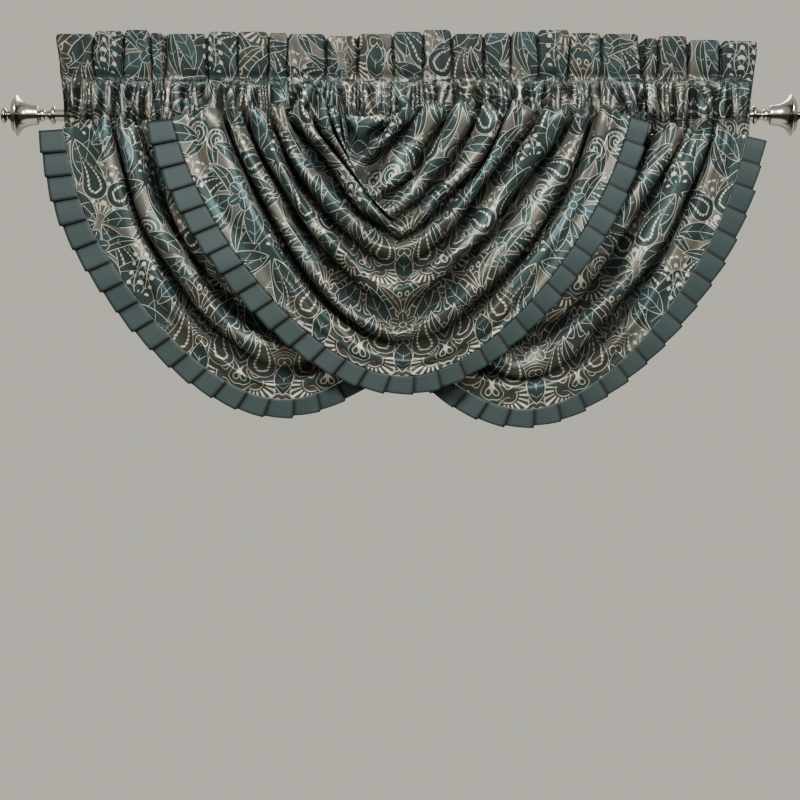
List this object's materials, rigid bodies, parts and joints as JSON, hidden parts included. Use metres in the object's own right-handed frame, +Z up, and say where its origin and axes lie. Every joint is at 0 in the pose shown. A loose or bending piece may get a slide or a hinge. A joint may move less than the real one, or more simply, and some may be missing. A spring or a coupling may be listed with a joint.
{
  "type": "waterfall valance and curtain rod",
  "caption": "Overlapping waterfall valances with ruffled headings and knife-pleated edging, gathered on a round curtain rod with trumpet finials.",
  "frame": {"origin": "on the rod's axis, halfway along the rod", "axes": "+X along the rod towards the right as seen from the room, +Y towards the wall, +Z up; the front of the cloth faces -Y"},
  "size_m": [1.856, 0.1072, 0.9121],
  "materials": {
    "jacquard": "woven jacquard of leaves, scrolls and medallions in taupe, slate teal, ivory and dark bronze, with a satin ground",
    "edging_cloth": "plain slate-teal faille, pressed into knife pleats",
    "satin_nickel": "satin nickel plate"
  },
  "bodies": {
    "root": {"band_left": "jacquard", "band_centre": "jacquard", "band_right": "jacquard", "swag_left": "jacquard", "swag_centre": "jacquard", "swag_right": "jacquard", "edging_left": "edging_cloth", "edging_centre": "edging_cloth", "edging_right": "edging_cloth", "rod": "satin_nickel", "finial_left": "satin_nickel", "finial_right": "satin_nickel"}
  },
  "joints": []
}
